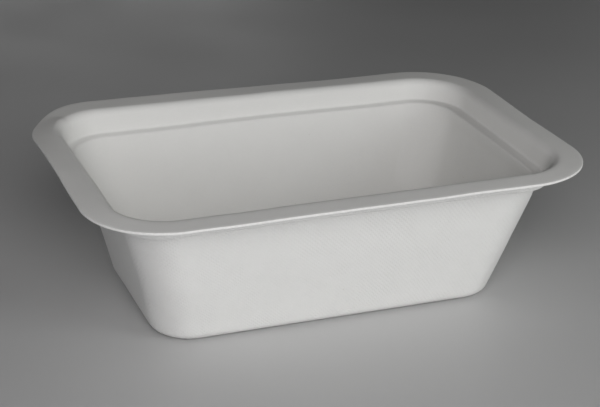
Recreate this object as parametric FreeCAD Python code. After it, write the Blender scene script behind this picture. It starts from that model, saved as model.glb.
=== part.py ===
"""Deep rectangular food tray, pressed in one piece from sugar cane pulp.

Millimetres, +Z up. The origin is on the underside of the floor, at the middle of the tray.
The tray is one sheet of even thickness: a flat floor, walls that lean outwards, a narrow ledge
all round near the top, a short steep band above it, and a wide flat flange for a sealing film.

A level place on the sheet is given by its inset, which is how far it lies inside the rim. The
face of the cavity is drawn first, and the outside is that face moved out by the sheet.
"""
import FreeCAD, Part
import math
import os

# The pressed sheet and the outline of its cut rim
SHEET = 1.1
LENGTH = 216.0
WIDTH = 145.0
HEIGHT = 64.5
RIM_RADIUS = 34.0

# Mouth of the cavity, where the planes of the flange and the band meet
MOUTH_INSET = 12.2
MOUTH_RADIUS = 21.6
BAND_DRAFT = 12.0

# Ledge, which rises a little towards the band
LEDGE_HEIGHT = 54.7
LEDGE_RISE = 0.9
LEDGE_WIDTH = 2.9
LEDGE_OUTER_RADIUS = 21.4
LEDGE_INNER_RADIUS = 19.2

# Main wall, which leans out more at the ends than at the sides
END_DRAFT = 16.4
SIDE_DRAFT = 14.7
FLOOR_RADIUS = 15.6

# Radii of the bends, on the face of the cavity
LIP_BEND = 2.4
BAND_BEND = 1.2
LEDGE_BEND = 1.8
FLOOR_BEND = 4.2

LEVEL_TOLERANCE = 0.01


def slope(draft):
    """Run per unit of height of a wall with this draft in degrees."""
    return math.tan(math.radians(draft))


def spread(angle):
    """Width of a slanted sheet, measured level or upright, per unit of its thickness."""
    return 1 / math.cos(math.radians(angle))


LEDGE_TOP = LEDGE_HEIGHT + LEDGE_RISE
BAND_FOOT_INSET = MOUTH_INSET + slope(BAND_DRAFT) * (HEIGHT - LEDGE_TOP)
WALL_HEAD_INSET = BAND_FOOT_INSET + LEDGE_WIDTH


def band_inset(thickness, height):
    """Inset of the band at a height, for a face this far outside the cavity."""
    return MOUTH_INSET + slope(BAND_DRAFT) * (HEIGHT - height) - thickness * spread(BAND_DRAFT)


def wall_inset(draft, thickness, height):
    """Inset of the main wall at a height, for a face this far outside the cavity."""
    return WALL_HEAD_INSET + slope(draft) * (LEDGE_HEIGHT - height) - thickness * spread(draft)


def corner_drop(draft, thickness):
    """How much lower the ledge meets a wall of this draft, on a face outside the cavity."""
    climb = LEDGE_RISE / LEDGE_WIDTH
    ledge_drop = thickness * spread(math.degrees(math.atan(climb)))
    return (ledge_drop - climb * thickness * spread(draft)) / (1 - climb * slope(draft))


def rounded_rectangle(half_length, half_width, radius, height):
    """A level wire with four straight sides and four round corners."""
    x, y = half_length - radius, half_width - radius
    bow = radius * math.sqrt(0.5)
    edges = []
    for east, north in ((1, 1), (-1, 1), (-1, -1), (1, -1)):
        centre = FreeCAD.Vector(east * x, north * y, height)
        on_end = centre + FreeCAD.Vector(east * radius, 0, 0)
        on_side = centre + FreeCAD.Vector(0, north * radius, 0)
        middle = centre + FreeCAD.Vector(east * bow, north * bow, 0)
        start, stop = (on_end, on_side) if east == north else (on_side, on_end)
        if edges:
            edges.append(Part.LineSegment(edges[-1].Vertexes[-1].Point, start).toShape())
        edges.append(Part.Arc(start, middle, stop).toShape())
    last, first = edges[-1].Vertexes[-1].Point, edges[0].Vertexes[0].Point
    edges.append(Part.LineSegment(last, first).toShape())
    return Part.Wire(edges)


def section(end_inset, side_inset, radius, height):
    """A level section of the tub."""
    return rounded_rectangle(LENGTH / 2 - end_inset, WIDTH / 2 - side_inset, radius, height)


def wall_section(thickness, radius, height):
    """A level section of the main wall."""
    ends = wall_inset(END_DRAFT, thickness, height)
    sides = wall_inset(SIDE_DRAFT, thickness, height)
    return section(ends, sides, radius + thickness, height)


def band_section(thickness, radius, height):
    """A level section of the band."""
    inset = band_inset(thickness, height)
    return section(inset, inset, radius + thickness, height)


def tub_block(thickness, lowest):
    """A solid block bounded by a face this far outside the cavity, with its bends rounded."""
    ledge_low = LEDGE_HEIGHT - corner_drop(END_DRAFT, thickness)
    ledge_high = LEDGE_TOP - corner_drop(BAND_DRAFT, thickness)
    wires = [
        wall_section(thickness, FLOOR_RADIUS, lowest),
        wall_section(thickness, LEDGE_INNER_RADIUS, ledge_low),
        band_section(thickness, LEDGE_OUTER_RADIUS, ledge_high),
        band_section(thickness, MOUTH_RADIUS, HEIGHT),
    ]
    block = Part.makeLoft(wires, True, True)
    bends = (
        (lowest, FLOOR_BEND + thickness),
        (ledge_low, LEDGE_BEND - thickness),
        (ledge_high, BAND_BEND + thickness),
    )
    for height, bend in bends:
        block = block.makeFillet(bend, level_edges(block, height))
    return block


def level_edges(shape, height):
    """The edges of a shape that lie level at a height."""
    def near(z):
        return abs(z - height) < LEVEL_TOLERANCE
    return [edge for edge in shape.Edges if near(edge.BoundBox.ZMin) and near(edge.BoundBox.ZMax)]


def mouth_edges(shape, height):
    """The level edges at a height that lie well inside the rim."""
    x, y = (LENGTH - MOUTH_INSET) / 2, (WIDTH - MOUTH_INSET) / 2
    inside_rim = FreeCAD.BoundBox(-x, -y, 0, x, y, 2 * HEIGHT)
    return [edge for edge in level_edges(shape, height) if inside_rim.isInside(edge.BoundBox)]


def flange_plate():
    """The flat plate that holds the flange, still filled in at the mouth."""
    outline = rounded_rectangle(LENGTH / 2, WIDTH / 2, RIM_RADIUS, HEIGHT - SHEET)
    return Part.Face(outline).extrude(FreeCAD.Vector(0, 0, SHEET))


def tray():
    """The whole tray: tub and flange in one sheet, with the lip rounded into the flange."""
    outside = tub_block(SHEET, 0).fuse(flange_plate())
    outside = outside.makeFillet(LIP_BEND - SHEET, mouth_edges(outside, HEIGHT - SHEET))
    sheet = outside.cut(tub_block(0, SHEET))
    return sheet.makeFillet(LIP_BEND, mouth_edges(sheet, HEIGHT)).Solids[0]


os.makedirs("parts", exist_ok=True)
tray().exportStep("parts/tray.step")
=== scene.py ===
"""Deep rectangular food tray, pressed in one piece from sugar cane pulp, with its studio.

Metres, +Z up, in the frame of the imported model: the origin is on the underside of the floor, at
the middle of the tray, and the long sides run along X. The pressed sheet has three surfaces:
the smooth felt side in the cavity and on top of the flange, the screen side outside, which
carries the weave of the forming screen, and the raw cut edge round the rim.
"""
import logging
import math
from dataclasses import dataclass
from enum import IntEnum

import bmesh
import bpy
from mathutils import Matrix, Vector, noise


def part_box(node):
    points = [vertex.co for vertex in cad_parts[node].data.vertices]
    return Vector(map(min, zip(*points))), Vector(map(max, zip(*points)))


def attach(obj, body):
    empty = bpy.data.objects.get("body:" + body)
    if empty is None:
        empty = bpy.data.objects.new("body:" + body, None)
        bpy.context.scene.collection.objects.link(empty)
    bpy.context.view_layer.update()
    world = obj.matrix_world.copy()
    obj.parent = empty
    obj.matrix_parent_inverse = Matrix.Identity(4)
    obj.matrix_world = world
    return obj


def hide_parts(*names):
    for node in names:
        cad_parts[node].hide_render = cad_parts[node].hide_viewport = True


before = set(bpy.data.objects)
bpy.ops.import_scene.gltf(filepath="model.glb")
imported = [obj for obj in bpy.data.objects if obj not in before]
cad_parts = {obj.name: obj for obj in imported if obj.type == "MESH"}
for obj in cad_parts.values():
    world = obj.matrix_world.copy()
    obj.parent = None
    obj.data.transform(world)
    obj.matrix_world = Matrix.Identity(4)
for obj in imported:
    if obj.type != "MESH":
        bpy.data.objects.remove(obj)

CAD_NODE = "tray"
BODY = "root"
# attribute for the lighter colour of rubbed pulp, which on the cut rim is also a painted highlight
RUB_AND_HIGHLIGHT = "rub_and_highlight"
SCREEN_LAY = "screen_lay"
LEDGE_HEIGHT = 0.0547
RIM_HEIGHT = 0.0645
RIM_RADIUS = 0.034
# Blender's wave texture repeats after this length at a scale of 1.
WAVE_REPEAT = math.pi / 10
log = logging.getLogger("food_tray")


class Side(IntEnum):
    """The three surfaces of the pressed sheet; the value is the place of its material."""

    FELT = 0
    SCREEN = 1
    CUT = 2


# ---------------------------------------------------------------- shape of the tray


def ease(value: float, low: float, high: float) -> float:
    """A soft step from 0 at the low value to 1 at the high one."""
    share = min(max((value - low) / (high - low), 0.0), 1.0)
    return share * share * (3 - 2 * share)


@dataclass(frozen=True)
class Level:
    """A level outline of the sheet: a rectangle with round corners."""

    half_length: float
    half_width: float
    radius: float
    height: float

    def place(self, anchor: Vector, facing: Vector) -> Vector:
        """Finds a point of the outline.

        Args:
            anchor: where its corner centre or straight side is, from -1 to 1 along X and Y.
            facing: the level direction that the outline faces there.

        Returns:
            The point, in metres.
        """
        return Vector((
            anchor.x * (self.half_length - self.radius) + facing.x * self.radius,
            anchor.y * (self.half_width - self.radius) + facing.y * self.radius,
            self.height,
        ))


@dataclass(frozen=True)
class Outline:
    """How a ring of points is shared out between the straight sides and the round corners."""

    side_steps: int = 96
    end_steps: int = 46
    half_corner_steps: int = 14

    @property
    def columns(self) -> int:
        """Steps along a long side, with half of each of its corners."""
        return self.side_steps + 2 * self.half_corner_steps

    @property
    def rows(self) -> int:
        """Steps along a short end, with half of each of its corners."""
        return self.end_steps + 2 * self.half_corner_steps

    def along(self, place: float, steps: int) -> tuple[float, float]:
        """Splits a place along one side into its straight part and its turn.

        Args:
            place: from -1 at one end of the side to 1 at the other.
            steps: how many steps the side has.

        Returns:
            The place of the anchor, from -1 to 1, and the turn from square on, in radians.
        """
        step = (place + 1) / 2 * steps
        straight = steps - 2 * self.half_corner_steps
        into = min(max(step - self.half_corner_steps, 0.0), float(straight))
        turn = (step - self.half_corner_steps - into) / self.half_corner_steps * math.pi / 4
        return 2 * into / straight - 1, turn

    def ring_point(self, x: float, y: float) -> tuple[Vector, Vector]:
        """Turns a point on the border of the unit square into a place on the ring.

        Args:
            x: from -1 to 1, across the columns.
            y: from -1 to 1, across the rows.

        Returns:
            The anchor and the facing of that place.
        """
        if abs(y) >= abs(x):
            lead, turn = self.along(x, self.columns)
            out = math.copysign(1, y)
            return Vector((lead, out, 0)), Vector((math.sin(turn), out * math.cos(turn), 0))
        lead, turn = self.along(y, self.rows)
        out = math.copysign(1, x)
        return Vector((out, lead, 0)), Vector((out * math.cos(turn), math.sin(turn), 0))


@dataclass(frozen=True)
class Bend:
    """A bend of the sheet along a whole ring, rounded on the face of the cavity."""

    radius: float
    turn: float
    steps: int

    @property
    def setback(self) -> float:
        """How far from the sharp edge the round begins."""
        return self.radius * math.tan(math.radians(self.turn) / 2)


@dataclass(frozen=True)
class Lean:
    """A soft rise or sag of the flange around one place on the rim."""

    x: float
    y: float
    lift: float
    reach: float

    def at(self, point: Vector) -> float:
        """The lift of the rim's edge beside this point, in metres."""
        away = (point.x - self.x) ** 2 + (point.y - self.y) ** 2
        return self.lift * math.exp(-away / self.reach**2)


@dataclass(frozen=True)
class CornerFold:
    """A crease along the diagonal of one corner of the flange.

    On the side of the end wall the flange hangs down from its lip. On the side of the long wall
    it falls straight towards the end, so that its slope does not turn outwards.
    """

    x: float = -0.074
    y: float = 0.0385
    rim_radius: float = RIM_RADIUS
    lip_radius: float = 0.0247
    drop: float = -0.0027
    lowest: float = 0.0080
    near_reach: float = 0.0135
    far_reach: float = 0.026
    crease_angle: float = 135.0
    softness: float = 0.0008

    def drop_at(self, place: float) -> float:
        """The drop of the rim at a place along it, in metres."""
        reach = self.far_reach if place > self.lowest else self.near_reach
        return self.drop * math.exp(-((place - self.lowest) / reach) ** 2)

    def lift_at(self, point: Vector, share: float) -> float:
        """Finds the lift of the flange and of the lip.

        Args:
            point: a point of the tray.
            share: how far out it lies, from 0 at the lip to 1 at the cut edge.

        Returns:
            The lift, in metres; it is negative where the flange hangs down.
        """
        right, up = point.x - self.x, point.y - self.y
        middle = math.radians(self.crease_angle)
        if right > 0 and up < self.lip_radius / 2:
            return 0.0
        if up < 0:
            return self.drop_at(self.rim_radius * math.pi / 4 - up) * share
        angle = math.atan2(up, right)
        hung = self.drop_at(self.rim_radius * (angle - middle)) * share
        beside = math.acos(min(max(right / self.rim_radius, -1.0), 0.0))
        fallen = self.drop_at(self.rim_radius * (beside - middle))
        past = (angle - middle) * math.hypot(right, up) / self.softness
        blend = 0.5 + 0.5 * math.tanh(past)
        return blend * hung + (1 - blend) * fallen


@dataclass(frozen=True)
class EndDraw:
    """How far drying has drawn in one end wall of the tub."""

    amount: float
    foot: float
    head: float = 0.050
    top: float = RIM_HEIGHT

    def at(self, height: float) -> float:
        """The draw at a height, fading out towards the base and the rim, in metres."""
        return self.amount * ease(height, 0, self.foot) * ease(-height, -self.top, -self.head)


@dataclass(frozen=True)
class LedgeBow:
    """How far the ledge runs out of level round the tub."""

    height: float = LEDGE_HEIGHT
    foot: float = 0.038
    head: float = 0.0625
    inner: float = 0.030
    outer: float = 0.050
    front_rise: float = 0.0012
    front_reach: float = 0.066
    front_fade: float = 0.022
    back_sag: float = -0.0002
    leans: tuple[Lean, ...] = (Lean(-0.070, 0.056, -0.0004, 0.050),)

    def at(self, point: Vector) -> float:
        """Finds the rise of the ledge beside a point, which fades out above and below it.

        Args:
            point: a point of the tray.

        Returns:
            The rise, in metres.
        """
        near = ease(point.z, self.foot, self.height) * ease(-point.z, -self.head, -self.height)
        middle = ease(-abs(point.x), -self.front_reach - self.front_fade, -self.front_reach)
        side = self.front_rise * middle if point.y < 0 else self.back_sag
        return near * (side * ease(abs(point.y), self.inner, self.outer)
                       + sum(lean.at(point) for lean in self.leans))


@dataclass(frozen=True)
class LedgePull:
    """How far the inner edge of the right end's ledge stands in and up from where it was pressed."""

    draw: float = 0.0021
    rise: float = 0.0006
    foot: float = 0.047
    height: float = LEDGE_HEIGHT

    def at(self, point: Vector, facing: Vector, inside: float) -> Vector:
        """Finds the pull at a point.

        Args:
            point: a point of the tray.
            facing: the level direction that the wall faces there.
            inside: how far in from the band it lies, from 0 to 1 at the inner edge of the ledge.

        Returns:
            The pull, fading out down the wall, in metres.
        """
        share = ease(point.z, self.foot, self.height) * max(facing.x, 0.0) * inside
        return Vector((-self.draw, 0, self.rise)) * share


@dataclass(frozen=True)
class Handling:
    """What pressing, drying and handling did to this tray: a slight twist, waves and sags."""

    half_length: float = 0.108
    half_width: float = 0.066
    height: float = RIM_HEIGHT
    lip_foot: float = 0.0560
    lip_rise: float = 0.0065
    right_draw: EndDraw = EndDraw(0.0009, 0.004, 0.046, 0.056)
    left_draw: EndDraw = EndDraw(0.0010, 0.028)
    ledge_pull: LedgePull = LedgePull()
    twist: float = -0.0006
    end_tilt: float = -0.0003
    side_tilt: float = 0.00007
    wave: float = 0.00022
    wave_size: float = 0.030
    ripple: float = 0.00006
    ripple_size: float = 0.009
    wave_seed: int = 3
    base_clear: float = 0.004
    twist_foot: float = 0.050
    front_crown: float = 0.0003
    back_crown: float = -0.0001
    front_droop: float = 0.0003
    back_droop: float = -0.0001
    droop_curve: float = 1.2
    fold: CornerFold = CornerFold()
    ledge: LedgeBow = LedgeBow()
    leans: tuple[Lean, ...] = (
        Lean(0.108, 0.0, -0.0009, 0.040),
        Lean(0.045, 0.0725, -0.0005, 0.040),
        Lean(-0.108, -0.025, -0.0004, 0.018),
        Lean(-0.104, -0.052, -0.0006, 0.018),
    )

    def lift_at(self, point: Vector, share: float) -> float:
        """Finds how far droop, sags and fold have moved a point of the flange or the lip.

        Args:
            point: a point of the tray.
            share: how far out it lies, from 0 at the lip to 1 at the cut edge.

        Returns:
            The rise, in metres.
        """
        sag = sum(lean.at(point) for lean in self.leans) * share
        held = min(max((point.z - self.lip_foot) / self.lip_rise, 0.0), 1.0)
        back = 0.5 + 0.5 * min(max(point.y / self.half_width, -1.0), 1.0)
        crown = self.front_crown + (self.back_crown - self.front_crown) * back
        droop = self.front_droop + (self.back_droop - self.front_droop) * back
        lip = (crown + self.fold.lift_at(point, share)) * held
        return lip + sag - droop * share**self.droop_curve

    def draw_at(self, point: Vector, facing: Vector) -> float:
        """How far an end wall has drawn in at a point, along X."""
        draw = self.right_draw if facing.x > 0 else self.left_draw
        return -draw.at(point.z) * facing.x

    def twist_at(self, point: Vector) -> float:
        """Finds how far the twist and tilt of the whole rim have raised a point.

        Args:
            point: a point of the tray.

        Returns:
            The rise, in metres.
        """
        x, y = point.x / self.half_length, point.y / self.half_width
        grown = ease(point.z, self.twist_foot, self.height)
        return grown * (self.twist * x * y + self.end_tilt * x + self.side_tilt * y)

    def swell_at(self, point: Vector) -> Vector:
        """Finds how far the waves of the sheet shift a point, less and less towards the base.

        Args:
            point: a point of the tray.

        Returns:
            The shift, in metres.
        """
        held = min(point.z / self.base_clear, 1.0)
        broad = noise.noise_vector(point / self.wave_size) * self.wave
        fine = noise.noise_vector(point / self.ripple_size) * self.ripple
        return (broad + fine) * held


@dataclass
class PulpTray:
    """The tray as one sheet of pulp, from the floor of the tub to the cut rim."""

    length: float
    width: float
    height: float
    sheet: float = 0.0011
    rim_radius: float = RIM_RADIUS
    mouth_inset: float = 0.0122
    mouth_radius: float = 0.0216
    band_draft: float = 12.0
    ledge_height: float = LEDGE_HEIGHT
    ledge_rise: float = 0.0007
    ledge_width: float = 0.0029
    ledge_outer_radius: float = 0.0214
    ledge_inner_radius: float = 0.0192
    end_draft: float = 16.4
    side_draft: float = 14.7
    floor_radius: float = 0.0156
    floor_border: float = 0.0042
    floor_bend: Bend = Bend(0.0042, 74.5, 7)
    ledge_bend: Bend = Bend(0.0012, 60.9, 4)
    band_bend: Bend = Bend(0.0009, 64.4, 4)
    lip_bend: Bend = Bend(0.0036, 78.0, 8)
    ledge_edge_radius: float = 0.0007
    ledge_edge_reach: float = 0.0025
    ledge_edge_part: float = 0.97
    wall_pitch: float = 0.0020
    flange_pitch: float = 0.0016
    run_length: float = 0.0035
    edge_round: float = 0.00024
    edge_steps: int = 3
    rim_rub_and_highlight_reach: float = 0.0016
    foot_wear: float = 0.5
    foot_wear_height: float = 0.003
    lip_wear: float = 0.3
    lip_wear_reach: float = 0.004
    level_slope: float = 0.7
    outline: Outline = Outline()
    handling: Handling = Handling()

    def level(self, end_inset: float, side_inset: float, radius: float, height: float) -> Level:
        """A level outline at these insets from the rim."""
        half_length, half_width = self.length / 2 - end_inset, self.width / 2 - side_inset
        return Level(half_length, half_width, radius, height)

    def wall_level(self, height: float, inset: float = 0.0) -> Level:
        """The outline where the planes of the main wall reach a height.

        Args:
            height: the height, in metres.
            inset: how much further in the outline lies.

        Returns:
            The outline on the face of the cavity.
        """
        drop = self.ledge_height - height
        share = drop / (self.ledge_height - self.sheet)
        radius = self.ledge_inner_radius + share * (self.floor_radius - self.ledge_inner_radius)
        head = self.band_foot_inset + self.ledge_width + inset
        end_inset = head + drop * math.tan(math.radians(self.end_draft))
        side_inset = head + drop * math.tan(math.radians(self.side_draft))
        return self.level(end_inset, side_inset, radius - inset, height)

    @property
    def ledge_top(self) -> float:
        """The height at which the ledge meets the band."""
        return self.ledge_height + self.ledge_rise

    @property
    def band_foot_inset(self) -> float:
        """The inset at which the ledge meets the band."""
        climb = self.height - self.ledge_top
        return self.mouth_inset + climb * math.tan(math.radians(self.band_draft))

    def floor_sheet(self, shell: bmesh.types.BMesh) -> list[bmesh.types.BMEdge]:
        """Lays the flat floor of the tub and marks each point of its border.

        Args:
            shell: the mesh to build in.

        Returns:
            The edges of the floor's border.
        """
        columns, rows = self.outline.columns, self.outline.rows
        bmesh.ops.create_grid(shell, x_segments=columns, y_segments=rows, size=1.0)
        anchor = shell.verts.layers.float_vector.new("anchor")
        facing = shell.verts.layers.float_vector.new("facing")
        level = self.wall_level(self.sheet, self.floor_border)

        def edge(x: float, y: float) -> Vector:
            """The border point beside a point of the unit square's border."""
            return level.place(*self.outline.ring_point(x, y))

        for vert in shell.verts:
            x, y = vert.co.x, vert.co.y
            if vert.is_boundary:
                vert[anchor], vert[facing] = self.outline.ring_point(x, y)
                vert.co = edge(x, y)
                continue
            across = edge(-1, y).lerp(edge(1, y), (x + 1) / 2)
            along = edge(x, -1).lerp(edge(x, 1), (y + 1) / 2)
            near = edge(-1, -1).lerp(edge(1, -1), (x + 1) / 2)
            far = edge(-1, 1).lerp(edge(1, 1), (x + 1) / 2)
            vert.co = across + along - near.lerp(far, (y + 1) / 2)
        return [e for e in shell.edges if e.is_boundary]

    def grow(
        self, shell: bmesh.types.BMesh, ring: list[bmesh.types.BMEdge], level: Level
    ) -> list[bmesh.types.BMEdge]:
        """Draws the sheet on from its open border to the next level outline.

        Args:
            shell: the mesh to build in.
            ring: the edges of the open border.
            level: the outline that the new border follows.

        Returns:
            The edges of the new border.
        """
        anchor = shell.verts.layers.float_vector["anchor"]
        facing = shell.verts.layers.float_vector["facing"]
        grown = bmesh.ops.extrude_edge_only(shell, edges=ring)["geom"]
        for vert in (g for g in grown if isinstance(g, bmesh.types.BMVert)):
            vert.co = level.place(vert[anchor], vert[facing])
        return [g for g in grown if isinstance(g, bmesh.types.BMEdge) and g.is_boundary]

    def round_off(
        self, shell: bmesh.types.BMesh, ring: list[bmesh.types.BMEdge], bend: Bend
    ) -> None:
        """Rounds one sharp ring of the sheet.

        Args:
            shell: the mesh to work on.
            ring: the edges of the sharp ring.
            bend: the bend that they become.
        """
        bmesh.ops.bevel(
            shell, geom=ring, offset=bend.setback, offset_type="OFFSET", segments=bend.steps,
            profile=0.5, affect="EDGES", material=-1, loop_slide=True, clamp_overlap=False,
        )

    def divide_runs(self, shell: bmesh.types.BMesh) -> None:
        """Cuts the long straight runs between the bends into short strips.

        Args:
            shell: the mesh to work on.
        """
        runs: dict[str, list[bmesh.types.BMEdge]] = {"wall": [], "band": [], "flange": []}
        for edge in shell.edges:
            if edge.calc_length() < self.run_length:
                continue
            heights = [v.co.z for v in edge.verts]
            if min(heights) < self.ledge_height / 2:
                runs["wall"].append(edge)
            elif min(heights) < self.height - self.sheet:
                runs["band"].append(edge)
            else:
                runs["flange"].append(edge)
        for name, edges in runs.items():
            pitch = self.wall_pitch if name == "wall" else self.flange_pitch
            mean = sum(e.calc_length() for e in edges) / len(edges)
            cuts = max(round(mean / pitch) - 1, 1)
            bmesh.ops.subdivide_edgering(shell, edges=edges, cuts=cuts, interp_mode="LINEAR")

    def thicken(self, shell: bmesh.types.BMesh) -> None:
        """Gives the sheet its thickness and tells its three surfaces apart.

        Args:
            shell: the mesh to work on.
        """
        felt = set(shell.faces)
        bmesh.ops.solidify(shell, geom=shell.faces[:], thickness=self.sheet)
        for face in shell.faces:
            touches_felt = any(other in felt for e in face.edges for other in e.link_faces)
            face.material_index = (
                Side.FELT if face in felt else Side.CUT if touches_felt else Side.SCREEN
            )

    def press_ledge_edge(self, shell: bmesh.types.BMesh) -> None:
        """Presses the outer bend under the ledge tighter than the sheet would bend by itself.

        Args:
            shell: the mesh to work on.
        """
        bend = self.band_bend
        half_turn = math.radians(bend.turn) / 2
        tighter = bend.radius + self.sheet - self.ledge_edge_radius
        middle = math.radians(self.band_draft) + half_turn
        steepest = math.sin(middle + half_turn * self.ledge_edge_part)
        shallowest = math.sin(middle - half_turn * self.ledge_edge_part)
        inmost = self.rim_radius - self.band_foot_inset - self.ledge_width / 4
        shell.normal_update()
        for vert in shell.verts:
            height = vert.co.z - self.ledge_height
            if abs(height) > self.ledge_edge_reach or vert.normal.z > 0:
                continue
            if any(face.material_index != Side.SCREEN for face in vert.link_faces):
                continue
            if not shallowest < -vert.normal.z < steepest:
                continue
            if self.outwards(vert.co).length < inmost:
                continue
            level = Vector((vert.normal.x, vert.normal.y, 0)).normalized()
            corner = level * math.cos(middle) - Vector((0, 0, math.sin(middle)))
            vert.co += (corner / math.cos(half_turn) - vert.normal) * tighter

    def trim_edge(self, shell: bmesh.types.BMesh) -> None:
        """Softens the two sharp edges that the trimming die leaves on the rim.

        Args:
            shell: the mesh to work on.
        """
        sharp = [
            e for e in shell.edges
            if len({f.material_index for f in e.link_faces}) == 2
        ]
        bmesh.ops.bevel(
            shell, geom=sharp, offset=self.edge_round, offset_type="OFFSET",
            segments=self.edge_steps, profile=0.5, affect="EDGES", material=Side.CUT,
            loop_slide=True, clamp_overlap=False,
        )

    def wall_facing(self, point: Vector) -> Vector:
        """The level direction that the wall faces beside a point.

        Args:
            point: a point of the tray.

        Returns:
            The direction, of length 1, or of length 0 over the floor.
        """
        level = self.wall_level(min(point.z, self.ledge_height))
        reach_x, reach_y = level.half_length - level.radius, level.half_width - level.radius
        out = Vector((
            point.x - min(max(point.x, -reach_x), reach_x),
            point.y - min(max(point.y, -reach_y), reach_y), 0,
        ))
        return out.normalized() if out.length > 0 else out

    def outwards(self, point: Vector) -> Vector:
        """The level way to a point from the core that the rim is rounded about.

        Args:
            point: a point of the tray.

        Returns:
            The way, in metres.
        """
        reach_x = self.length / 2 - self.rim_radius
        reach_y = self.width / 2 - self.rim_radius
        return Vector((
            point.x - min(max(point.x, -reach_x), reach_x),
            point.y - min(max(point.y, -reach_y), reach_y), 0,
        ))

    def inside_share(self, point: Vector) -> float:
        """How far in from the band a point lies, up to 1 at the inner edge of the ledge.

        Args:
            point: a point of the tray.

        Returns:
            The share, from 0 at the foot of the band to 1 at the inner edge and on the wall.
        """
        band_foot = self.rim_radius - self.band_foot_inset
        return ease(band_foot - self.outwards(point).length, 0, self.ledge_width)

    def flange_share(self, point: Vector) -> float:
        """How far out on the flange a point lies, from 0 at the lip to 1 at the cut edge.

        Args:
            point: a point of the tray.

        Returns:
            The share.
        """
        lip = self.rim_radius - self.mouth_inset + self.lip_bend.setback
        share = (self.outwards(point).length - lip) / (self.rim_radius - lip)
        return min(max(share, 0.0), 1.0)

    def weather(self, shell: bmesh.types.BMesh) -> None:
        """Moves every point of the sheet as pressing, drying and handling have moved it.

        Args:
            shell: the mesh to work on.
        """
        flange_width = self.mouth_inset - self.lip_bend.setback
        noise.seed_set(self.handling.wave_seed)
        for vert in shell.verts:
            rest = vert.co.copy()
            share, out = self.flange_share(rest), self.outwards(rest).normalized()
            vert.co.z += self.handling.twist_at(rest) + self.handling.ledge.at(rest)
            facing, inside = self.wall_facing(rest), self.inside_share(rest)
            vert.co.x += self.handling.draw_at(rest, facing)
            vert.co += self.handling.ledge_pull.at(rest, facing, inside)
            lift = self.handling.lift_at(rest, share)
            vert.co.z += lift
            vert.co -= out * (share * lift * lift / (2 * flange_width))
            vert.co += self.handling.swell_at(rest)

    def mark_rub_and_highlight(self, shell: bmesh.types.BMesh) -> None:
        """Marks rubbed pulp at the rim, lip and foot, with a painted highlight on the cut rim.

        Args:
            shell: the mesh to mark.
        """
        rub_and_highlight = shell.verts.layers.float.new(RUB_AND_HIGHLIGHT)
        for vert in shell.verts:
            share = self.flange_share(vert.co)
            rim = (1 - share) * (self.mouth_inset - self.lip_bend.setback)
            foot = max(0.0, 1 - abs(vert.co.z) / self.foot_wear_height) * self.foot_wear
            from_lip = abs(rim - self.mouth_inset) / self.lip_wear_reach
            lip = max(0.0, 1 - from_lip) * self.lip_wear
            # near the cut edge the lighter colour is partly rubbed pulp and partly a painted
            # highlight
            vert[rub_and_highlight] = max(math.exp(-rim / self.rim_rub_and_highlight_reach), foot, lip)

    def lay_screen(self, shell: bmesh.types.BMesh) -> None:
        """Lays the forming screen over the sheet in real lengths, wrapped round the walls.

        Args:
            shell: the mesh to lay it over.
        """
        lay = shell.loops.layers.uv.new(SCREEN_LAY)
        middle = self.wall_level(self.ledge_height / 2)
        reach_x = middle.half_length - middle.radius
        reach_y = middle.half_width - middle.radius
        quarter = middle.radius * math.pi / 2
        run = 4 * (reach_x + reach_y + quarter)

        def wrap(point: Vector) -> float:
            """The length round the wall from the middle of the right end to beside a point.

            Args:
                point: a point of the tray.

            Returns:
                The length, in metres.
            """
            facing = self.wall_facing(point)
            turn = math.atan2(facing.y, facing.x) % (2 * math.pi)
            level = self.wall_level(min(point.z, self.ledge_height))
            across = point.x / (level.half_length - level.radius)
            deep = point.y / (level.half_width - level.radius)
            x = min(max(across, -1.0), 1.0) * reach_x
            y = min(max(deep, -1.0), 1.0) * reach_y
            sides = (y, reach_y + reach_x - x, 2 * (reach_y + reach_x) - y,
                     3 * (reach_y + reach_x) + x, 4 * (reach_y + reach_x) + y)
            return turn * middle.radius + sides[round(turn / (math.pi / 2))]

        for face in shell.faces:
            level = abs(face.normal.z) > self.level_slope
            near = 0.0 if level else wrap(face.calc_center_median())
            for loop in face.loops:
                point = loop.vert.co
                if level:
                    loop[lay].uv = (point.x, point.y)
                    continue
                along = wrap(point)
                along += run * round((near - along) / run)
                loop[lay].uv = (along, point.z / math.cos(math.radians(self.side_draft)))

    def build(self) -> bpy.types.Object:
        """Builds the tray's mesh from the floor outwards.

        Returns:
            The finished object, at the origin.
        """
        shell = bmesh.new()
        border = self.floor_sheet(shell)
        foot = self.grow(shell, border, self.wall_level(self.sheet))
        head = self.grow(shell, foot, self.wall_level(self.ledge_height))
        band_inset = self.band_foot_inset
        band = self.grow(shell, head, self.level(
            band_inset, band_inset, self.ledge_outer_radius, self.ledge_top))
        mouth = self.grow(shell, band, self.level(
            self.mouth_inset, self.mouth_inset, self.mouth_radius, self.height))
        self.grow(shell, mouth, self.level(0, 0, self.rim_radius, self.height))
        bends = ((foot, self.floor_bend), (head, self.ledge_bend), (band, self.band_bend),
                 (mouth, self.lip_bend))
        for ring, bend in bends:
            self.round_off(shell, ring, bend)
        self.divide_runs(shell)
        bmesh.ops.recalc_face_normals(shell, faces=shell.faces[:])
        self.thicken(shell)
        self.press_ledge_edge(shell)
        self.trim_edge(shell)
        self.mark_rub_and_highlight(shell)
        self.lay_screen(shell)
        self.weather(shell)
        mesh = bpy.data.meshes.new("pulp_tray")
        for face in shell.faces:
            face.smooth = True
        shell.to_mesh(mesh)
        shell.free()
        for finish in self.finishes():
            mesh.materials.append(finish.material())
        tray = bpy.data.objects.new("pulp_tray", mesh)
        bpy.context.scene.collection.objects.link(tray)
        return tray

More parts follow.
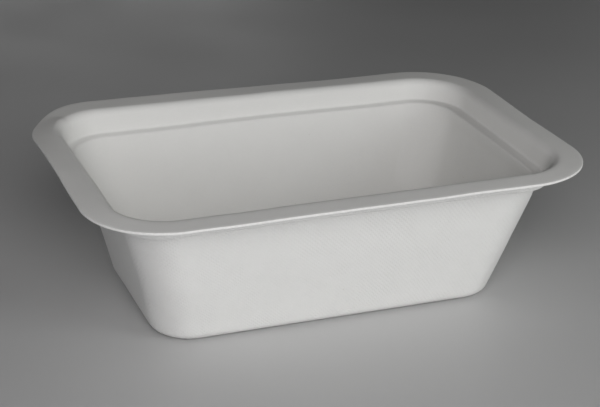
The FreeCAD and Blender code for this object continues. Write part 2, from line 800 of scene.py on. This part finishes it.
    def finishes(self) -> tuple["PulpFinish", ...]:
        """The finishes of the three surfaces, in the order of Side.

        Returns:
            One finish for each surface.
        """
        felt = PulpFinish("pulp_felt")
        screen = ScreenFinish("pulp_screen", tint=(0.865, 0.861, 0.845), dimple_height=0.00013,
                              fibre_height=0.000045, fibre_size=0.0016)
        cut = PulpFinish("pulp_cut", tint=(0.845, 0.840, 0.820), fibre_height=0.00005,
                         fibre_size=0.0006, fleck_share=0.0)
        return felt, screen, cut


# ---------------------------------------------------------------- finishes


class Shading:
    """The node tree of one material, with short ways to add to it."""

    def __init__(self, name: str) -> None:
        """Starts a material.

        Args:
            name: the name of the material.
        """
        self.material = bpy.data.materials.new(name)
        self.material.use_nodes = True
        self.tree = self.material.node_tree
        self.shader = self.tree.nodes["Principled BSDF"]

    def node(self, kind: str, **settings: object) -> bpy.types.Node:
        """Adds a node.

        Args:
            kind: the node's type.
            settings: its own settings, by name.

        Returns:
            The node.
        """
        node = self.tree.nodes.new(kind)
        for name, value in settings.items():
            setattr(node, name, value)
        return node

    def feed(self, target: bpy.types.NodeSocket, value: "Feed") -> None:
        """Gives a socket a fixed value, or links it to another socket.

        Args:
            target: the socket to fill.
            value: the value, or the socket that gives it.
        """
        if isinstance(value, bpy.types.NodeSocket):
            self.tree.links.new(value, target)
        else:
            target.default_value = value

    def math(self, operation: str, first: "Feed", second: "Feed" = 0.0) -> bpy.types.NodeSocket:
        """Adds a sum of two values.

        Args:
            operation: the name of the sum.
            first: the first value.
            second: the second value.

        Returns:
            The result.
        """
        node = self.node("ShaderNodeMath", operation=operation)
        self.feed(node.inputs[0], first)
        self.feed(node.inputs[1], second)
        return node.outputs["Value"]

    def spread(
        self, value: "Feed", low: float, high: float, to_low: float = 0.0, to_high: float = 1.0
    ) -> bpy.types.NodeSocket:
        """Spreads a range of values over another range, with soft ends.

        Args:
            value: the value.
            low: where the range starts.
            high: where the range ends.
            to_low: what its start becomes.
            to_high: what its end becomes.

        Returns:
            The result.
        """
        node = self.node("ShaderNodeMapRange", interpolation_type="SMOOTHSTEP")
        for socket, amount in zip(node.inputs, (value, low, high, to_low, to_high)):
            self.feed(socket, amount)
        return node.outputs["Result"]

    def noise(
        self, place: bpy.types.NodeSocket, size: float, detail: float = 2.0, rough: float = 0.5
    ) -> bpy.types.NodeSocket:
        """Adds an even random pattern.

        Args:
            place: the coordinates.
            size: the size of its patches, in metres.
            detail: how many finer patterns are added to it.
            rough: how strong the finer patterns are.

        Returns:
            The pattern, from 0 to 1 around 0.5.
        """
        node = self.node("ShaderNodeTexNoise")
        self.feed(node.inputs["Vector"], place)
        self.feed(node.inputs["Scale"], 1 / size)
        self.feed(node.inputs["Detail"], detail)
        self.feed(node.inputs["Roughness"], rough)
        return node.outputs["Fac"]

    def blend(self, amount: "Feed", first: "Feed", second: "Feed") -> bpy.types.NodeSocket:
        """Blends two colours.

        Args:
            amount: how much of the second colour there is.
            first: the first colour.
            second: the second colour.

        Returns:
            The colour.
        """
        node = self.node("ShaderNodeMix", data_type="RGBA")
        self.feed(node.inputs["Factor"], amount)
        self.feed(node.inputs["A"], first)
        self.feed(node.inputs["B"], second)
        return node.outputs["Result"]

    def relief(self, height: "Feed") -> None:
        """Raises the surface by a height in metres.

        Args:
            height: the height.
        """
        node = self.node("ShaderNodeBump")
        node.inputs["Distance"].default_value = 1.0
        self.feed(node.inputs["Height"], height)
        self.feed(self.shader.inputs["Normal"], node.outputs["Normal"])


Feed = bpy.types.NodeSocket | float | tuple[float, ...]


@dataclass(frozen=True)
class PulpFinish:
    """Pressed sugar cane pulp: off white, matt, a little uneven, with short fibres and flecks."""

    name: str
    tint: tuple[float, float, float] = (0.885, 0.880, 0.860)
    mottle: float = 0.035
    mottle_size: float = 0.011
    grain: float = 0.05
    grain_size: float = 0.0007
    roughness: float = 0.82
    roughness_swing: float = 0.10
    fibre_height: float = 0.00002
    fibre_size: float = 0.0011
    dimple_height: float = 0.00005
    dimple_size: float = 0.0042
    fleck_tint: tuple[float, float, float] = (0.50, 0.43, 0.33)
    fleck_spacing: float = 0.0046
    fleck_radius: float = 0.00022
    fleck_share: float = 0.16
    fleck_depth: float = 0.8
    fleck_core: float = 0.5
    fleck_edge: float = 1.3
    # lighter colour of rubbed pulp; along the cut rim it is also a painted highlight
    scuff_and_highlight_tint: tuple[float, float, float] = (0.91, 0.906, 0.89)
    scuff_size: float = 0.0016
    scuff_start: float = 0.35
    scuff_full: float = 0.7
    sheen_share: float = 0.6
    specular: float = 0.35

    def colour(self, shading: Shading, place: bpy.types.NodeSocket) -> bpy.types.NodeSocket:
        """Adds the colour of the pulp.

        Args:
            shading: the material being made.
            place: the coordinates of the sheet.

        Returns:
            The colour.
        """
        broad = shading.noise(place, self.mottle_size, 3.0)
        fine = shading.noise(place, self.grain_size, 3.0, 0.6)
        shade = shading.math("ADD", shading.math("MULTIPLY", broad, self.mottle),
                             shading.math("MULTIPLY", fine, self.grain))
        light = tuple(min(c * (1 + (self.mottle + self.grain) / 2), 1.0) for c in self.tint)
        dark = tuple(c * (1 - (self.mottle + self.grain) / 2) for c in self.tint)
        amount = shading.math("DIVIDE", shade, self.mottle + self.grain)
        plain = shading.blend(amount, (*dark, 1), (*light, 1))
        return self.flecked(shading, place, plain)

    def flecked(
        self, shading: Shading, place: bpy.types.NodeSocket, plain: bpy.types.NodeSocket
    ) -> bpy.types.NodeSocket:
        """Strews a few specks of cane bark over a colour.

        Args:
            shading: the material being made.
            place: the coordinates of the sheet.
            plain: the colour without them.

        Returns:
            The colour with them.
        """
        cells = shading.node("ShaderNodeTexVoronoi", feature="F1")
        shading.feed(cells.inputs["Vector"], place)
        cells.inputs["Scale"].default_value = 1 / self.fleck_spacing
        reach = self.fleck_radius / self.fleck_spacing
        core, edge = reach * self.fleck_core, reach * self.fleck_edge
        spot = shading.spread(cells.outputs["Distance"], core, edge, 1.0, 0.0)
        pick = shading.node("ShaderNodeSeparateColor")
        shading.feed(pick.inputs["Color"], cells.outputs["Color"])
        chosen = shading.math("LESS_THAN", pick.outputs["Red"], self.fleck_share)
        depth = shading.math("MULTIPLY", pick.outputs["Green"], self.fleck_depth)
        amount = shading.math("MULTIPLY", shading.math("MULTIPLY", spot, chosen), depth)
        return shading.blend(amount, plain, (*self.fleck_tint, 1))

    def height(self, shading: Shading, place: bpy.types.NodeSocket) -> bpy.types.NodeSocket:
        """Adds the relief of the fibres and of the uneven sheet.

        Args:
            shading: the material being made.
            place: the coordinates of the sheet.

        Returns:
            The height, in metres.
        """
        fibres = shading.noise(place, self.fibre_size, 5.0, 0.6)
        dimples = shading.noise(place, self.dimple_size, 2.0)
        return shading.math("ADD", shading.math("MULTIPLY", fibres, self.fibre_height),
                            shading.math("MULTIPLY", dimples, self.dimple_height))

    def material(self) -> bpy.types.Material:
        """Makes the material of this finish.

        Returns:
            The material.
        """
        shading = Shading(self.name)
        place = shading.node("ShaderNodeTexCoord").outputs["Object"]
        # lighten rubbed pulp, which along the cut rim is also a painted highlight
        rub_and_highlight = shading.node("ShaderNodeAttribute", attribute_name=RUB_AND_HIGHLIGHT).outputs["Fac"]
        torn = shading.noise(place, self.scuff_size, 4.0, 0.65)
        rubbed = shading.spread(torn, self.scuff_start, self.scuff_full)
        scuff_and_highlight = shading.math("MULTIPLY", rub_and_highlight, rubbed)
        colour = shading.blend(scuff_and_highlight, self.colour(shading, place), (*self.scuff_and_highlight_tint, 1))
        shading.feed(shading.shader.inputs["Base Color"], colour)
        patch = shading.noise(place, self.mottle_size * self.sheen_share, 3.0)
        low, high = self.roughness - self.roughness_swing, self.roughness + self.roughness_swing
        shading.feed(shading.shader.inputs["Roughness"],
                     shading.spread(patch, 0.25, 0.75, low, high))
        shading.shader.inputs["Specular IOR Level"].default_value = self.specular
        shading.relief(self.height(shading, place))
        return shading.material


@dataclass(frozen=True)
class ScreenFinish(PulpFinish):
    """Pulp as it comes off the forming screen, with the faint weave of the wires."""

    weave_pitch: float = 0.0013
    weave_height: float = 0.00014
    weave_waver: float = 0.002
    waver_size: float = 0.02
    firm_size: float = 0.012
    least_firm: float = 0.35

    def height(self, shading: Shading, place: bpy.types.NodeSocket) -> bpy.types.NodeSocket:
        """Adds the imprint of the screen's wires to the relief of the pulp.

        Args:
            shading: the material being made.
            place: the coordinates of the sheet.

        Returns:
            The height, in metres.
        """
        cloth = shading.node("ShaderNodeUVMap", uv_map=SCREEN_LAY).outputs["UV"]
        waver = shading.node("ShaderNodeTexNoise")
        shading.feed(waver.inputs["Vector"], place)
        waver.inputs["Scale"].default_value = 1 / self.waver_size
        shift = shading.node("ShaderNodeVectorMath", operation="SCALE")
        shading.feed(shift.inputs[0], waver.outputs["Color"])
        shift.inputs["Scale"].default_value = self.weave_waver
        moved = shading.node("ShaderNodeVectorMath", operation="ADD")
        shading.feed(moved.inputs[0], cloth)
        shading.feed(moved.inputs[1], shift.outputs["Vector"])
        wires = []
        for turn in (45, -45):
            lay = shading.node("ShaderNodeMapping")
            lay.inputs["Rotation"].default_value = (0, 0, math.radians(turn))
            shading.feed(lay.inputs["Vector"], moved.outputs["Vector"])
            wave = shading.node("ShaderNodeTexWave", wave_type="BANDS", bands_direction="X")
            shading.feed(wave.inputs["Vector"], lay.outputs["Vector"])
            wave.inputs["Scale"].default_value = WAVE_REPEAT / self.weave_pitch
            wires.append(wave.outputs["Fac"])
        weave = shading.math("MULTIPLY", *wires)
        patch = shading.noise(place, self.firm_size, 2.0)
        firm = shading.spread(patch, 0.3, 0.7, self.least_firm, 1.0)
        pressed = shading.math("MULTIPLY", shading.math("MULTIPLY", weave, firm),
                               self.weave_height)
        return shading.math("ADD", super().height(shading, place), pressed)


@dataclass(frozen=True)
class FloorFinish:
    """A plain painted board, nearly even."""

    name: str = "floor_paint"
    tint: tuple[float, float, float] = (0.57, 0.57, 0.57)
    swing: float = 0.02
    patch_size: float = 0.11
    roughness: float = 0.5
    roughness_swing: float = 0.06
    grain_size: float = 0.0015
    grain_height: float = 0.000012

    def material(self) -> bpy.types.Material:
        """Makes the material of the floor.

        Returns:
            The material.
        """
        shading = Shading(self.name)
        place = shading.node("ShaderNodeTexCoord").outputs["Object"]
        patch = shading.noise(place, self.patch_size, 3.0)
        light = tuple(c + self.swing / 2 for c in self.tint)
        dark = tuple(c - self.swing / 2 for c in self.tint)
        shading.feed(shading.shader.inputs["Base Color"],
                     shading.blend(patch, (*dark, 1), (*light, 1)))
        shading.feed(shading.shader.inputs["Roughness"],
                     shading.spread(patch, 0.3, 0.7, self.roughness - self.roughness_swing,
                                    self.roughness + self.roughness_swing))
        grain = shading.noise(place, self.grain_size, 3.0)
        shading.relief(shading.math("MULTIPLY", grain, self.grain_height))
        return shading.material


# ---------------------------------------------------------------- studio


@dataclass(frozen=True)
class SoftBox:
    """A flat soft light that faces the tray."""

    name: str
    azimuth: float
    elevation: float
    power: float
    tint: tuple[float, float, float] = (1.0, 1.0, 1.0)
    width: float = 0.4
    height: float = 0.4
    distance: float = 0.85

    def hang(self, target: Vector) -> bpy.types.Object:
        """Hangs the light in its place.

        Args:
            target: what it faces.

        Returns:
            The light.
        """
        data = bpy.data.lights.new(self.name, "AREA")
        data.energy = self.power
        data.color = self.tint
        data.shape = "RECTANGLE"
        data.size = self.width
        data.size_y = self.height
        light = bpy.data.objects.new(self.name, data)
        away = outward(self.azimuth, self.elevation)
        turned = away.to_track_quat("Z", "Y").to_matrix().to_4x4()
        light.matrix_world = Matrix.Translation(target + away * self.distance) @ turned
        light.visible_camera = False
        bpy.context.scene.collection.objects.link(light)
        return light


def outward(azimuth: float, elevation: float) -> Vector:
    """The direction at an azimuth from the front and an elevation, both in degrees.

    Args:
        azimuth: the turn from the front, towards the right end.
        elevation: the climb from level.

    Returns:
        The direction, of length 1.
    """
    turn, climb = math.radians(azimuth), math.radians(elevation)
    return Vector((
        math.sin(turn) * math.cos(climb), -math.cos(turn) * math.cos(climb), math.sin(climb)
    ))


@dataclass
class Studio:
    """A plain pale floor, soft lights and the camera."""

    floor_size: float = 6.0
    floor_gap: float = 0.0003
    floor_finish: FloorFinish = FloorFinish()
    lens: float = 101.64
    sensor: float = 36.0
    azimuth: float = -21.83
    elevation: float = 23.47
    distance: float = 0.73365
    aim_height: float = 0.030
    shift_right: float = -0.00109
    shift_up: float = 0.00516
    roll: float = 1.72
    sky: tuple[float, float, float] = (0.95, 0.98, 1.0)
    sky_strength: float = 0.015
    soft_boxes: tuple[SoftBox, ...] = (
        SoftBox("key", -20, 35, 1.98, (1.0, 0.985, 0.980)),
        SoftBox("key_low", -20, 20, 1.05, (1.0, 0.985, 0.985)),
        SoftBox("right", 40, 20, 1.40, (0.97, 1.0, 0.99)),
        SoftBox("right_near", 40, 12, 0.17, (1.0, 1.0, 1.0), 0.25, 0.16, 0.5),
        SoftBox("left_near", -40, 12, 0.215, (0.93, 0.95, 1.0), 0.25, 0.16, 0.5),
        SoftBox("back", 180, 0.3, 2.0, (1.0, 1.0, 1.0), 0.9, 0.055, 1.1),
        SoftBox("back_right", 125, 0.3, 0.75, (1.0, 1.0, 1.0), 0.6, 0.055, 1.1),
        SoftBox("back_left", 235, 0.3, 0.06, (1.0, 1.0, 1.0), 0.6, 0.055, 1.1),
    )

    def floor(self) -> bpy.types.Object:
        """Lays the floor.

        Returns:
            The floor.
        """
        ground = bmesh.new()
        bmesh.ops.create_grid(ground, x_segments=1, y_segments=1, size=self.floor_size / 2)
        bmesh.ops.translate(ground, verts=ground.verts[:], vec=(0, 0, -self.floor_gap))
        mesh = bpy.data.meshes.new("studio_floor")
        ground.to_mesh(mesh)
        ground.free()
        floor = bpy.data.objects.new("studio_floor", mesh)
        bpy.context.scene.collection.objects.link(floor)
        mesh.materials.append(self.floor_finish.material())
        return floor

    def camera(self) -> bpy.types.Object:
        """Sets up the camera.

        Returns:
            The camera.
        """
        turn, roll = math.radians(self.azimuth), math.radians(self.roll)
        back = outward(self.azimuth, self.elevation)
        right = Vector((math.cos(turn), math.sin(turn), 0))
        up = back.cross(right)
        place = Vector((0, 0, self.aim_height)) + back * self.distance
        place += right * self.shift_right + up * self.shift_up
        rolled_right = right * math.cos(roll) + up * math.sin(roll)
        rolled_up = up * math.cos(roll) - right * math.sin(roll)
        data = bpy.data.cameras.new("studio_camera")
        data.lens = self.lens
        data.sensor_width = self.sensor
        data.clip_start = 0.01
        camera = bpy.data.objects.new("studio_camera", data)
        turned = Matrix((rolled_right, rolled_up, back)).transposed()
        camera.matrix_world = Matrix.Translation(place) @ turned.to_4x4()
        bpy.context.scene.collection.objects.link(camera)
        bpy.context.scene.camera = camera
        return camera

    def lights(self) -> None:
        """Hangs the soft lights under a dim even sky."""
        scene = bpy.context.scene
        scene.world = bpy.data.worlds.new("studio_world")
        scene.world.use_nodes = True
        backdrop = scene.world.node_tree.nodes["Background"]
        backdrop.inputs["Color"].default_value = (*self.sky, 1)
        backdrop.inputs["Strength"].default_value = self.sky_strength
        for soft_box in self.soft_boxes:
            soft_box.hang(Vector((0, 0, self.aim_height)))


def main() -> None:
    """Builds the tray and its studio, to the sizes of the part in the model."""
    logging.basicConfig(level=logging.INFO)
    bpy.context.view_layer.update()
    low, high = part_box(CAD_NODE)
    length, width, height = high - low
    tray = PulpTray(length, width, height)
    piece = tray.build()
    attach(piece, BODY)
    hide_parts(CAD_NODE)
    log.info("%s: %d faces", piece.name, len(piece.data.polygons))
    studio = Studio()
    studio.floor()
    studio.lights()
    studio.camera()
    bpy.context.scene.view_settings.view_transform = "Standard"


if __name__ == "__main__":
    main()
